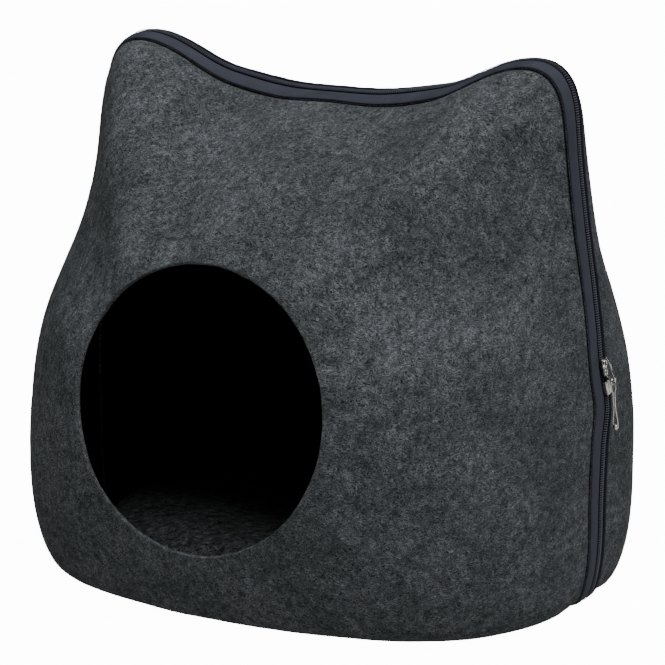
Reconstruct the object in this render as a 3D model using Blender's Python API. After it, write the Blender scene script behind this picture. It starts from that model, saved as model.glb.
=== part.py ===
"""Felt cat cave: a front and a back shell of moulded felt in the outline of a cat's head, zipped together all round,
with a round entry and a plush cushion inside. Metres, +Z up. The entry faces -Y and the origin is on the floor,
under the middle of the cave."""

import math
from collections import namedtuple

import bmesh
import bpy
import numpy as np
from mathutils import Matrix, Vector

# Driving sizes, in metres.
FELT = 0.0035  # thickness of the felt
EDGE = 0.0042  # from the seam's plane to each shell's edge
GAP = 0.0003  # between pieces that touch
# Where the lengths below start: the seam's plane, which lies behind the middle, and the axis that the two halves
# mirror about, which the slider's pull makes lie beside it.
START = (-0.0030, 0.0095, 0.0)
AXIS_Z = 0.150  # height of the point that the seam's reach is measured from
CROWN_Z = 0.2025  # height of each shell's deepest point
FRONT_DEPTH = 0.2545
BACK_DEPTH = 0.2190
ENTRY_Z = 0.1885
ENTRY_RADIUS = 0.1160
# Offsets of the cut from a circle. They are a fitting program's output, chosen so that the rim looks like a smooth
# curve from the photo's side, and not a measured feature of the entry.
ENTRY_CUT = (
    # angle, further out
    (-90, 0.0029),
    (-60, 0.0001),
    (-30, -0.0006),
    (-10, -0.0003),
    (3, -0.0004),
    (22, 0.0005),
    (30, -0.0009),
    (38, -0.0019),
    (47, -0.0008),
    (54, 0.0010),
    (60, 0.0012),
    (70, -0.0020),
    (76, -0.0022),
    (86, 0.0010),
    (98, 0.0009),
    (113, 0.0022),
    (124, 0.0014),
    (145, 0.0028),
    (160, -0.0025),
    (195, -0.0032),
    (225, 0.0008),
    (240, 0.0032),
    (255, 0.0037),
)

BINDING_WIDTH = 0.0140  # front binding tape
STRIP_WIDTH = 0.0060  # back binding tape
BINDING_CROWN = 0.0018  # how far a binding's middle stands off the felt
BINDING_RIM = 0.0010  # the same at its edges
CHAIN_HALF = 0.0036  # half the width of the closed coil with its tape
CHAIN_FOOT_HALF = 0.0028  # the same at the tape's inner face
CHAIN_TOP = 0.0023  # the coil's top, off the felt's outer face
CHAIN_SHOULDER = 0.0013  # the same at the coil's sides
CHAIN_FLAT = 0.0021  # half the width of its top
CHAIN_FOOT = -0.0030  # the tape's inner face

FLOOR_SOFT = 0.014  # how softly the walls turn into the base
FLOOR_SINK = 0.0016  # what the base is pressed flat by
SEAM_LIFT = 0.0026  # the felt rises this far over the bindings that pass under the base
LIFT_NEAR = 0.022
LIFT_FAR = 0.052
LIFT_HEIGHT = 0.012

BULGE_Z = 0.173  # below the slider the zip is pushed back and out
BULGE_BACK = 0.0062
BULGE_OUT = 0.0012
BULGE_SPAN = 0.021
BULGE_FADE = 0.013

SLIDER_Z = 0.206
BOX_Z = 0.1885
BOX_HALF = 0.0062
BOX_CLEAR = 0.0012  # from the box, which leans with the zip, to the chain
POST_CLEAR = 0.0045  # the chain starts this far over the slider's middle

# The slider's bridge: distance out of the seam and height over the slider's middle.
BRIDGE = (
    (0.0036, 0.0066),
    (0.0062, 0.0068),
    (0.0081, 0.0058),
    (0.0091, 0.0026),
    (0.0094, -0.0020),
    (0.0104, -0.0058),
    (0.0122, -0.0096),
    (0.0116, -0.0118),
    (0.0101, -0.0122),
    (0.0082, -0.0110),
    (0.0038, -0.0064),
)
BRIDGE_HALF = 0.0009  # half its width
BRIDGE_HALF_THICK = 0.0005
# The slider's plates and the post between them: size out of, across and along the seam, and how far out the middle is.
PLATE = (0.0016, 0.0088, 0.0150)
PLATE_OUT = 0.0035
INNER_PLATE = (0.0013, 0.0084, 0.0120)
INNER_OUT = -0.0048
POST = (0.0090, 0.0022, 0.0052)
POST_OUT = -0.0008
RING_CENTRE = (0.0101, 0.0, -0.01245)
RING_FACING = (0.95, -0.30, -0.03)
RING_RADIUS = 0.0025
RING_WIRE = 0.00045
RING_SIDES = 20
WIRE_SIDES = 8
PULL_DROP = 0.0010  # from the ring's middle to the top of the pull's eye
PULL_WIRE = 0.0005
PULL_LEAN = (0.03, 0.11)  # how far out and to the back the pull leans, for each metre down
KNOB_RADIUS = 0.0023
KNOB_SIDES = 12
# The pull, downwards from the top of its eye: drop and half its width, both at the wire's middle.
PULL = (
    (0.0, 0.0),
    (0.0005, 0.0011),
    (0.0018, 0.0017),
    (0.0054, 0.0017),
    (0.0072, 0.0012),
    (0.0086, 0.0008),
    (0.0110, 0.0008),
    (0.0240, 0.0008),
    (0.0270, 0.0012),
    (0.0320, 0.0019),
    (0.0355, 0.0020),
    (0.0375, 0.0012),
    (0.0382, 0.0),
)
# Half of the retaining box's section: distance to the side and out of the seam.
BOX_SECTION = (
    (0.0005, 0.0040),
    (0.0014, 0.0049),
    (0.0032, 0.0049),
    (0.0039, 0.0042),
    (0.0039, 0.0027),
    (0.0024, 0.0027),
    (0.0024, -0.0030),
)

CUSHION_HALF = 0.205
CUSHION_FRONT = 0.178
CUSHION_BACK = 0.150
CUSHION_SQUARE = 2.4
CUSHION_CLIMB = 0.016
CUSHION_SIDES = 40
# The cushion from its flat underside to its middle: share of its outline, and height.
CUSHION_RISE = (
    (0.90, 0.0068),
    (0.97, 0.016),
    (1.00, 0.028),
    (0.96, 0.041),
    (0.86, 0.050),
    (0.62, 0.054),
    (0.30, 0.051),
)

STEP = 0.001  # of the finite differences that give a direction

# The seam's outline: angle up from +X, in degrees, and reach from the axis point, in metres. All but the first two
# rows are a fitting program's output, rounded to half a millimetre.
SEAM = (
    (-90, 0.1785),
    (-60, 0.2305),
    (-42, 0.2800),
    (-28, 0.2775),
    (-14, 0.2575),
    (0, 0.2510),
    (14, 0.2545),
    (28, 0.2705),
    (40, 0.2985),
    (48, 0.3325),
    (53, 0.3585),
    (57, 0.3630),
    (60, 0.3535),
    (63, 0.3365),
    (67, 0.3110),
    (72, 0.2925),
    (80, 0.2750),
    (90, 0.2690),
)

# How full each shell is along the line from its crown to the seam at an angle: the larger the crown's number, the
# flatter the shell round its crown, and the larger the edge's number, the squarer it meets the seam's plane.
ROUND = 2.0  # the crown's number at the crown itself, whatever the angle
# Near the crown a shell's level lines are round, and towards the seam they take its outline.
ROUND_REACH = 0.2475
ROUND_RISE = 0.030
ROUND_POWER = 4
# Most of these numbers are a fitting program's output.
FULLNESS = (
    # angle, front crown, front edge, back crown, back edge
    (-90, 3.40, 3.00, 3.29, 3.00),
    (-50, 3.40, 3.00, 3.14, 2.99),
    (-20, 3.09, 2.81, 2.90, 2.89),
    (5, 2.41, 2.28, 2.40, 2.31),
    (20, 1.96, 2.16, 2.21, 1.95),
    (34, 1.68, 1.69, 2.13, 1.64),
    (47, 1.50, 1.60, 2.15, 1.64),
    (59, 1.65, 1.58, 2.12, 1.45),
    (72, 1.75, 1.14, 2.07, 1.26),
    (90, 1.90, 1.30, 2.04, 1.56),
)

# How much each shell leans inwards where it leaves the seam, from its own curve: at the saddle between the ears the
# felt and the zip slope down to the front, and beside the ears the front starts out squarer. These numbers are a
# fitting program's output.
LEANING = (
    # angle, front, back
    (-50, 0.00, 0.00),
    (-20, 0.00, 0.00),
    (5, 0.08, 0.00),
    (20, -0.09, 0.00),
    (34, -0.23, -0.03),
    (47, -0.50, -0.14),
    (59, 0.05, -0.27),
    (72, 0.54, -0.22),
    (90, 0.46, -0.16),
)
LEAN_FADE = 0.025

STATIONS = 84
WALK_STEPS = 16
SHARE_STEPS = 400
FINE_STEPS = 40
BEND_WEIGHT = 0.060  # metres of seam that a turn of one radian counts as, when the stations are spread
ENTRY_RINGS = 6
BACK_RINGS = 7
BACK_FIRST_SHARE = 0.16

Shell = namedtuple("Shell", "side depth crown edge lean")


def even_curve(angles, values):
    """A smooth curve through values at angles, level at both ends, which mirrors about the vertical."""
    knots = np.radians(angles)
    values = np.array(values)
    span = np.diff(knots)
    rise = np.diff(values) / span
    last = len(knots) - 1
    matrix = np.eye(last + 1)
    right = np.zeros(last + 1)
    for i in range(1, last):
        matrix[i, i - 1 : i + 2] = span[i], 2 * (span[i - 1] + span[i]), span[i - 1]
        right[i] = 3 * (span[i] * rise[i - 1] + span[i - 1] * rise[i])
    slope = np.linalg.solve(matrix, right)

    def curve(angle):
        upright = np.arcsin(np.sin(angle))
        i = np.clip(np.searchsorted(knots, upright) - 1, 0, last - 1)
        t = (upright - knots[i]) / span[i]
        ends = values[i] * (1 + 2 * t) * (1 - t) ** 2 + values[i + 1] * t * t * (3 - 2 * t)
        turns = slope[i] * t * (1 - t) ** 2 + slope[i + 1] * t * t * (t - 1)
        return ends + span[i] * turns

    return curve


def columns(table):
    return [list(column) for column in zip(*table)]


reach = even_curve(*columns(SEAM))
ANGLES, *FULL = columns(FULLNESS)
LEAN_ANGLES, *LEAN = columns(LEANING)
FRONT = Shell(
    -1,
    FRONT_DEPTH,
    even_curve(ANGLES, FULL[0]),
    even_curve(ANGLES, FULL[1]),
    even_curve(LEAN_ANGLES, LEAN[0]),
)
BACK = Shell(
    1,
    BACK_DEPTH,
    even_curve(ANGLES, FULL[2]),
    even_curve(ANGLES, FULL[3]),
    even_curve(LEAN_ANGLES, LEAN[1]),
)


def smooth(value, low, high):
    t = np.clip((value - low) / (high - low), 0, 1)
    return t * t * (3 - 2 * t)


def settled(x, y, z):
    """Presses the base flat on the floor, lifts the felt over the seam there, and bulges the zip below the slider."""
    z = np.maximum((z + np.sqrt(z * z + FLOOR_SOFT**2)) / 2 - FLOOR_SINK, 0)
    near = 1 - smooth(np.abs(y), LIFT_NEAR, LIFT_FAR)
    z = z + SEAM_LIFT * near * np.exp(-((z / LIFT_HEIGHT) ** 2))
    bulge = np.exp(-(((z - BULGE_Z) / BULGE_SPAN) ** 2) - (y / BULGE_FADE) ** 2)
    bulge = bulge * smooth(x, 0.1, 0.2)
    x = x + BULGE_OUT * bulge
    y = y + BULGE_BACK * bulge
    return np.stack(np.broadcast_arrays(x, y, z), -1)


def share_at(shell, angle, turn):
    """How much of the line from the crown to the seam a turn has covered."""
    fullness = ROUND + (shell.crown(angle) - ROUND) * np.sin(turn) ** 2
    return np.sin(turn) ** (2 / fullness)


def skin(shell, angle, turn):
    """Outer face of a shell, on the line from its crown, turn 0, to the seam at an angle, turn a quarter circle."""
    share = share_at(shell, angle, turn)
    even = ROUND_REACH + ROUND_RISE * np.sin(angle)
    far = even + (reach(angle) - even) * np.sin(turn) ** ROUND_POWER
    depth = shell.depth * np.maximum(np.cos(turn), 0) ** (2 / shell.edge(angle))
    lean = shell.lean(angle) * depth * np.exp(-depth / LEAN_FADE)
    x = (share * far - lean) * np.cos(angle)
    z = CROWN_Z + share * (AXIS_Z - CROWN_Z + far * np.sin(angle)) - lean * np.sin(angle)
    return settled(x, shell.side * depth, z)


def turn_at_depth(shell, angle, depth):
    """Where the skin is this far from the seam's plane."""
    return np.arccos((depth / shell.depth) ** (shell.edge(angle) / 2))


def turn_at_walk(shell, angles, walk):
    """Where the skin is this far from its edge, measured over the skin."""
    depths = np.linspace(EDGE, EDGE + walk, WALK_STEPS)
    turns = np.array([turn_at_depth(shell, angles, depth) for depth in depths])
    points = np.array([skin(shell, angles, turn) for turn in turns])
    steps = np.linalg.norm(np.diff(points, axis=0), axis=-1)
    walked = np.concatenate([np.zeros((1, len(angles))), np.cumsum(steps, axis=0)])
    return np.array([np.interp(walk, walked[:, j], turns[:, j]) for j in range(len(angles))])


def turn_at_share(shell, angles, share):
    turns = np.linspace(0, math.pi / 2, SHARE_STEPS)
    shares = share_at(shell, angles, turns[:, None])
    wanted = np.broadcast_to(share, angles.shape)
    return np.array([np.interp(wanted[j], shares[:, j], turns) for j in range(len(angles))])


def outward(shell, angle, turn):
    """Unit normal of the skin, out of the cave."""
    along = skin(shell, angle + STEP, turn) - skin(shell, angle - STEP, turn)
    down = skin(shell, angle, turn + STEP) - skin(shell, angle, turn - STEP)
    normal = np.cross(along, down) * shell.side
    return normal / np.linalg.norm(normal, axis=-1, keepdims=True)


def raised(shell, angle, turn, height):
    """A point over the skin, or under it where height is negative, on its shell's side of the seam."""
    point = skin(shell, angle, turn) + height * outward(shell, angle, turn)
    seam_y = skin(shell, angle, turn_at_depth(shell, angle, EDGE))[..., 1]
    if shell.side < 0:
        point[..., 1] = np.minimum(point[..., 1], seam_y)
    else:
        point[..., 1] = np.maximum(point[..., 1], seam_y)
    return point


def seam_stations(count):
    """Angles round the seam, closer together where it bends."""
    fine = np.linspace(-math.pi / 2, 1.5 * math.pi, FINE_STEPS * count + 1)
    x, z = reach(fine) * np.cos(fine), reach(fine) * np.sin(fine)
    step = np.hypot(np.diff(x), np.diff(z))
    heading = np.unwrap(np.arctan2(np.diff(z), np.diff(x)))
    bend = np.abs(np.diff(heading, append=heading[0] + 2 * math.pi))
    walked = np.concatenate([[0], np.cumsum(step + BEND_WEIGHT * bend)])
    return np.interp(np.arange(count) / count * walked[-1], walked, fine)


def entry_turn(shell, angle):
    """Where the line from the crown to the seam leaves the round entry."""
    turns = np.linspace(0, math.pi / 2, SHARE_STEPS)
    points = skin(shell, angle, turns[:, None])
    away = np.hypot(points[..., 0], points[..., 2] - ENTRY_Z)
    away = np.maximum.accumulate(away, axis=0)
    radius = ENTRY_RADIUS + np.interp(np.degrees(angle), *columns(ENTRY_CUT), period=360)
    return np.array([np.interp(radius[j], away[:, j], turns) for j in range(len(angle))])


def material(name, colour, roughness, metallic=0.0):
    made = bpy.data.materials.new(name)
    made.use_nodes = True
    shader = made.node_tree.nodes["Principled BSDF"]
    shader.inputs["Base Color"].default_value = (*colour, 1)
    shader.inputs["Roughness"].default_value = roughness
    shader.inputs["Metallic"].default_value = metallic
    return made


def add_object(name, points, faces, finish):
    mesh = bpy.data.meshes.new(name)
    mesh.from_pydata([Vector(point) for point in points], [], faces)
    mesh.materials.append(finish)
    turned = bmesh.new()
    turned.from_mesh(mesh)
    bmesh.ops.recalc_face_normals(turned, faces=turned.faces)
    turned.to_mesh(mesh)
    turned.free()
    made = bpy.data.objects.new(name, mesh)
    bpy.context.collection.objects.link(made)
    return made


def grid_faces(rows, count, closed_rows):
    """Quads between rings of count points each, from ring to ring, and from the last to the first where closed."""
    faces = []
    for i in range(rows if closed_rows else rows - 1):
        here, there = i * count, (i + 1) % rows * count
        for j in range(count):
            after = (j + 1) % count
            faces.append((here + j, here + after, there + after, there + j))
    return faces


def ring_turns(shell, angle, first, rings):
    """Turns of a shell's rings: evenly from the first to the binding's inner edge, then two under the binding."""
    band = turn_at_walk(shell, angle, BINDING_WIDTH + GAP)
    turns = [first + (band - first) * i / rings for i in range(rings + 1)]
    turns.append(turn_at_walk(shell, angle, STRIP_WIDTH + GAP))
    turns.append(turn_at_depth(shell, angle, EDGE))
    return turns


def front_shell(stations, finish):
    """Closed felt sheet whose rings run from the entry to the seam outside, and back inside."""
    turns = ring_turns(FRONT, stations, entry_turn(FRONT, stations), ENTRY_RINGS)
    rings = [raised(FRONT, stations, turn, 0) for turn in turns]
    rings += [raised(FRONT, stations, turn, -FELT) for turn in reversed(turns)]
    return add_object(
        "shell_front", np.concatenate(rings), grid_faces(len(rings), len(stations), True), finish
    )


def back_shell(stations, finish):
    """Closed felt sheet whose rings run from the outer crown to the seam, and back to the inner crown."""
    count = len(stations)
    first = turn_at_share(BACK, stations, BACK_FIRST_SHARE)
    turns = ring_turns(BACK, stations, first, BACK_RINGS)
    rings = [raised(BACK, stations, turn, 0) for turn in turns]
    rings += [raised(BACK, stations, turn, -FELT) for turn in reversed(turns)]
    crowns = [(0, BACK_DEPTH, CROWN_Z), (0, BACK_DEPTH - FELT, CROWN_Z)]
    faces = grid_faces(len(rings), count, False)
    outer, inner = len(rings) * count, len(rings) * count + 1
    last = (len(rings) - 1) * count
    for j in range(count):
        after = (j + 1) % count
        faces.append((outer, after, j))
        faces.append((inner, last + j, last + after))
    return add_object("shell_back", np.concatenate([*rings, crowns]), faces, finish)


def binding(name, shell, width, stations, finish):
    """Crowned tape along a shell's edge, a hair over the felt."""
    section = [
        (0, GAP),
        (0, BINDING_RIM),
        (width * 0.25, BINDING_CROWN),
        (width * 0.75, BINDING_CROWN),
        (width, BINDING_RIM),
        (width, GAP),
    ]
    if width > STRIP_WIDTH:
        section.append((STRIP_WIDTH + GAP, GAP))
    rings = [
        raised(shell, stations, turn_at_walk(shell, stations, walk), height)
        for walk, height in section
    ]
    return add_object(
        name, np.concatenate(rings), grid_faces(len(rings), len(stations), True), finish
    )


def seam_frame(angle):
    """The seam's middle between the two felt edges, and the directions out of the cave and to the back there."""
    edges = [
        skin(shell, angle, turn_at_depth(shell, angle, EDGE)) for shell in (FRONT, BACK)
    ]
    middle = (edges[0] + edges[1]) / 2
    ahead = [
        skin(shell, angle + STEP, turn_at_depth(shell, angle + STEP, EDGE))
        for shell in (FRONT, BACK)
    ]
    along = (ahead[0] + ahead[1]) / 2 - middle
    across = edges[1] - edges[0]
    out = np.cross(across, along)
    across = np.cross(along, out)
    out = out / np.linalg.norm(out, axis=-1, keepdims=True)
    return middle, out, across / np.linalg.norm(across, axis=-1, keepdims=True)


def seam_angle(height):
    """Angle of the seam's station at this height on the +X side."""
    fine = np.linspace(-0.3, 0.9, 3 * SHARE_STEPS)
    return float(np.interp(height, seam_frame(fine)[0][:, 2], fine))


def zip_chain(stations, top, foot, finish):
    """The closed coil on its tape, from over the slider all the way round to under the box."""
    turns = np.concatenate([stations, stations + 2 * math.pi])
    walk = turns[(turns >= top) & (turns <= foot + 2 * math.pi)]
    middle, out, back = seam_frame(walk)
    corners = (
        (-CHAIN_FOOT_HALF, CHAIN_FOOT),
        (-CHAIN_HALF, CHAIN_SHOULDER),
        (-CHAIN_FLAT, CHAIN_TOP),
        (CHAIN_FLAT, CHAIN_TOP),
        (CHAIN_HALF, CHAIN_SHOULDER),
        (CHAIN_FOOT_HALF, CHAIN_FOOT),
    )
    points = []
    for place, direction, aside in zip(middle, out, back):
        for across, height in corners:
            points.append(place + direction * height + aside * across)
    faces = grid_faces(len(walk), len(corners), False)
    faces.append(tuple(range(len(corners))))
    faces.append(tuple(range(len(points) - len(corners), len(points))))
    return add_object("zip_chain", points, faces, finish)


def seam_matrix(angle):
    """Axes at the seam's middle: X out of the cave, Y to the back, Z up along the seam."""
    middle, out, back = (Vector(part) for part in seam_frame(angle))
    turned = Matrix((out, back, out.cross(back))).transposed()
    return Matrix.Translation(middle) @ turned.to_4x4()


def block(name, size, centre, rounding, place, finish):
    """Box with rounded edges in the axes of place."""
    shape = bmesh.new()
    bmesh.ops.create_cube(shape, size=1)
    bmesh.ops.scale(shape, vec=size, verts=shape.verts)
    bmesh.ops.bevel(
        shape, geom=shape.edges, offset=rounding, segments=2, affect="EDGES", profile=0.5
    )
    bmesh.ops.translate(shape, vec=centre, verts=shape.verts)
    mesh = bpy.data.meshes.new(name)
    shape.to_mesh(mesh)
    shape.free()
    mesh.materials.append(finish)
    made = bpy.data.objects.new(name, mesh)
    bpy.context.collection.objects.link(made)
    made.matrix_world = place
    return made


def swept(name, path, wide, section, closed, place, finish):
    """A section, of (sideways, along wide) pairs, along a flat path that lies square to wide."""
    path = [Vector(point) for point in path]
    wide = Vector(wide).normalized()
    points = []
    for i, point in enumerate(path):
        before = path[i - 1] if closed or i else path[0]
        after = path[(i + 1) % len(path)] if closed or i + 1 < len(path) else path[-1]
        side = (after - before).normalized().cross(wide)
        points += [point + side * a + wide * b for a, b in section]
    count = len(section)
    faces = grid_faces(len(path), count, closed)
    if not closed:
        faces.append(tuple(range(count)))
        faces.append(tuple(range(len(points) - count, len(points))))
    made = add_object(name, points, faces, finish)
    made.matrix_world = place
    return made


def round_section(radius, sides=WIRE_SIDES):
    turns = [2 * math.pi * k / sides for k in range(sides)]
    return [(radius * math.cos(turn), radius * math.sin(turn)) for turn in turns]


def join(base, others):
    """Makes base one solid with the others, which stay only as its guides."""
    for other in others:
        union = base.modifiers.new("union", "BOOLEAN")
        union.operation = "UNION"
        union.object = other
        other.hide_render = True
        other.display_type = "WIRE"


def slider(place, finish):
    """Slider with its outer and inner plates on one post, and the bridge that carries the pull."""
    plate = block("slider_body", PLATE, (PLATE_OUT, 0, 0), 0.0006, place, finish)
    inner = block("slider_inner", INNER_PLATE, (INNER_OUT, 0, 0), 0.0004, place, finish)
    post = block("slider_post", POST, (POST_OUT, 0, 0), 0.0003, place, finish)
    path = [(out, 0, along) for out, along in BRIDGE]
    section = [
        (-BRIDGE_HALF_THICK, -BRIDGE_HALF),
        (BRIDGE_HALF_THICK, -BRIDGE_HALF),
        (BRIDGE_HALF_THICK, BRIDGE_HALF),
        (-BRIDGE_HALF_THICK, BRIDGE_HALF),
    ]
    bridge = swept("slider_bridge", path, (0, 1, 0), section, False, place, finish)
    join(plate, [inner, post, bridge])


def ring(place, finish):
    """Round wire ring that hangs from the slider's bridge."""
    facing = Vector(RING_FACING).normalized()
    start = facing.orthogonal().normalized()
    other = facing.cross(start)
    turns = [2 * math.pi * k / RING_SIDES for k in range(RING_SIDES)]
    path = [
        Vector(RING_CENTRE) + RING_RADIUS * (start * math.cos(turn) + other * math.sin(turn))
        for turn in turns
    ]
    swept("slider_ring", path, facing, round_section(RING_WIRE), True, place, finish)


def pull(middle, finish):
    """Bent wire that hangs straight down from the ring: an eye, two strands, and a drop closed by a knob."""
    top = middle - Vector((0, 0, PULL_DROP))
    down = Vector((*PULL_LEAN, -1))
    right = [top + down * drop + Vector((half, 0, 0)) for drop, half in PULL]
    left = [top + down * drop - Vector((half, 0, 0)) for drop, half in PULL[-2:0:-1]]
    section = round_section(PULL_WIRE)
    wire = swept("slider_pull", right + left, (0, 1, 0), section, True, Matrix(), finish)
    shape = bmesh.new()
    bmesh.ops.create_uvsphere(
        shape, u_segments=KNOB_SIDES, v_segments=WIRE_SIDES, radius=KNOB_RADIUS
    )
    mesh = bpy.data.meshes.new("pull_knob")
    shape.to_mesh(mesh)
    shape.free()
    knob = bpy.data.objects.new("pull_knob", mesh)
    bpy.context.collection.objects.link(knob)
    knob.location = top + down * PULL[-1][0]
    join(wire, [knob])


def retaining_box(place, finish):
    """Box and pin at the chain's start: two ridges over the bindings, on a tongue between the felt edges."""
    across = [(-side, out) for side, out in reversed(BOX_SECTION)] + list(BOX_SECTION)
    points = [
        (out, side, along) for along in (-BOX_HALF, BOX_HALF) for side, out in across
    ]
    count = len(across)
    faces = grid_faces(2, count, False)
    faces += [tuple(range(count)), tuple(range(count, 2 * count))]
    made = add_object("zip_box", points, faces, finish)
    made.matrix_world = place


def cushion(finish):
    """Plush pad on the floor, crowned, with drawn-in sides and a corner pushed up the wall."""
    rings = []
    for share, height in CUSHION_RISE:
        for k in range(CUSHION_SIDES):
            turn = 2 * math.pi * k / CUSHION_SIDES
            cosine, sine = math.cos(turn), math.sin(turn)
            x = CUSHION_HALF * math.copysign(abs(cosine) ** (2 / CUSHION_SQUARE), cosine)
            deep = CUSHION_BACK if sine > 0 else CUSHION_FRONT
            y = deep * math.copysign(abs(sine) ** (2 / CUSHION_SQUARE), sine)
            rings.append(cushion_point(x * share, y * share, height))
    last = len(rings)
    faces = grid_faces(len(CUSHION_RISE), CUSHION_SIDES, False)
    rings.append(cushion_point(0, 0, CUSHION_RISE[0][1]))
    rings.append(cushion_point(0, 0, CUSHION_RISE[-1][1]))
    for k in range(CUSHION_SIDES):
        after = (k + 1) % CUSHION_SIDES
        faces.append((last, after, k))
        top = (len(CUSHION_RISE) - 1) * CUSHION_SIDES
        faces.append((last + 1, top + k, top + after))
    add_object("cushion", rings, faces, finish)


def cushion_point(x, y, height):
    climb = CUSHION_CLIMB * max(0.0, (x / CUSHION_HALF + y / CUSHION_BACK) / 2) ** 1.5
    if height > CUSHION_RISE[0][1]:
        height *= 1 + climb / CUSHION_RISE[-1][1]
    return Vector((x, y, height))


def main():
    for old in list(bpy.data.objects):
        bpy.data.objects.remove(old)
    felt = material("felt", (0.070, 0.076, 0.082), 0.95)
    tape = material("binding_tape", (0.075, 0.080, 0.105), 0.75)
    coil = material("zip_coil", (0.030, 0.032, 0.050), 0.5)
    metal = material("nickel", (0.72, 0.70, 0.66), 0.25, 1.0)
    plush = material("plush", (0.030, 0.033, 0.036), 0.95)

    stations = seam_stations(STATIONS)
    chain_top = seam_angle(SLIDER_Z + POST_CLEAR)
    chain_foot = seam_angle(BOX_Z - BOX_HALF - BOX_CLEAR)
    for angle in (chain_top, chain_foot):
        stations[np.argmin(np.abs(stations - angle))] = angle
    front_shell(stations, felt)
    back_shell(stations, felt)
    binding("binding_front", FRONT, BINDING_WIDTH, stations, tape)
    binding("binding_back", BACK, STRIP_WIDTH, stations, tape)
    zip_chain(stations, chain_top, chain_foot, coil)

    at_slider = seam_matrix(seam_angle(SLIDER_Z))
    slider(at_slider, metal)
    ring(at_slider, metal)
    pull(at_slider @ Vector(RING_CENTRE), metal)
    retaining_box(seam_matrix(seam_angle(BOX_Z)), metal)
    cushion(plush)
    for made in bpy.context.collection.objects:
        made.location += Vector(START)


main()
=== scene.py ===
"""Felt cat cave, as it looks: moulded felt shells, woven edge tapes, coil zip with its slider, and plush cushion.
The CAD model is the frame that every piece here is fitted to. Metres, +Z up, the entry towards -Y."""

import math
from collections import namedtuple

import bmesh
import bpy
import numpy as np
from mathutils import Matrix, Vector, noise


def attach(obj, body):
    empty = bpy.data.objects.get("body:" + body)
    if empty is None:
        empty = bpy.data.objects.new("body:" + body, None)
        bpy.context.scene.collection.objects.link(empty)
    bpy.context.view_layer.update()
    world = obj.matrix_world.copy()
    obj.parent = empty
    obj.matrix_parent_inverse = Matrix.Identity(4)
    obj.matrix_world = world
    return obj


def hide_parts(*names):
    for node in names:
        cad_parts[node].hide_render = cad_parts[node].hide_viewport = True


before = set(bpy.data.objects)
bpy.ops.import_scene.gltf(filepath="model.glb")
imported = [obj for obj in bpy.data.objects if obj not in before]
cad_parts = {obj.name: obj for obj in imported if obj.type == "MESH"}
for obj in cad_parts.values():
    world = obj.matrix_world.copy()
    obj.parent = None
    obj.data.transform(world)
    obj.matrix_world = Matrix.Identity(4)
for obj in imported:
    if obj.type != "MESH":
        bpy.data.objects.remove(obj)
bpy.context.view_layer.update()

# Driving sizes, in metres.
FELT = 0.0035  # thickness of the felt
EDGE = 0.0042  # from the seam's plane to each shell's edge
GAP = 0.0003  # between pieces that touch
# Where the lengths below start: the seam's plane, which lies behind the middle, and the axis that the two halves
# mirror about, which the slider's pull makes lie beside it.
START = (-0.0030, 0.0095, 0.0)
AXIS_Z = 0.150  # height of the point that the seam's reach is measured from
CROWN_Z = 0.2025  # height of each shell's deepest point
FRONT_DEPTH = 0.2545
BACK_DEPTH = 0.2190
ENTRY_Z = 0.1885
ENTRY_RADIUS = 0.1160
# Offsets of the cut from a circle. They are a fitting program's output, chosen so that the rim looks like a smooth
# curve from the photo's side, and not a measured feature of the entry.
ENTRY_CUT = (
    # angle, further out
    (-90, 0.0029),
    (-60, 0.0001),
    (-30, -0.0006),
    (-10, -0.0003),
    (3, -0.0004),
    (22, 0.0005),
    (30, -0.0009),
    (38, -0.0019),
    (47, -0.0008),
    (54, 0.0010),
    (60, 0.0012),
    (70, -0.0020),
    (76, -0.0022),
    (86, 0.0010),
    (98, 0.0009),
    (113, 0.0022),
    (124, 0.0014),
    (145, 0.0028),
    (160, -0.0025),
    (195, -0.0032),
    (225, 0.0008),
    (240, 0.0032),
    (255, 0.0037),
)

BINDING_WIDTH = 0.0140  # front binding tape
STRIP_WIDTH = 0.0060  # back binding tape
BINDING_CROWN = 0.0018  # how far a binding's middle stands off the felt
BINDING_RIM = 0.0010  # the same at its edges

FLOOR_SOFT = 0.014  # how softly the walls turn into the base
FLOOR_SINK = 0.0016  # what the base is pressed flat by
SEAM_LIFT = 0.0026  # the felt rises this far over the bindings that pass under the base
LIFT_NEAR = 0.022
LIFT_FAR = 0.052
LIFT_HEIGHT = 0.012

BULGE_Z = 0.173  # below the slider the zip is pushed back and out
BULGE_BACK = 0.0062
BULGE_OUT = 0.0012
BULGE_SPAN = 0.021
BULGE_FADE = 0.013

SLIDER_Z = 0.206
BOX_Z = 0.1885
BOX_HALF = 0.0062
BOX_CLEAR = 0.0012  # from the box, which leans with the zip, to the chain
POST_CLEAR = 0.0045  # the chain starts this far over the slider's middle

# The slider's bridge: distance out of the seam and height over the slider's middle.
BRIDGE = (
    (0.0036, 0.0066),
    (0.0062, 0.0068),
    (0.0081, 0.0058),
    (0.0091, 0.0026),
    (0.0094, -0.0020),
    (0.0104, -0.0058),
    (0.0122, -0.0096),
    (0.0116, -0.0118),
    (0.0101, -0.0122),
    (0.0082, -0.0110),
    (0.0038, -0.0064),
)
BRIDGE_HALF = 0.0009  # half its width
BRIDGE_HALF_THICK = 0.0005
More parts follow.
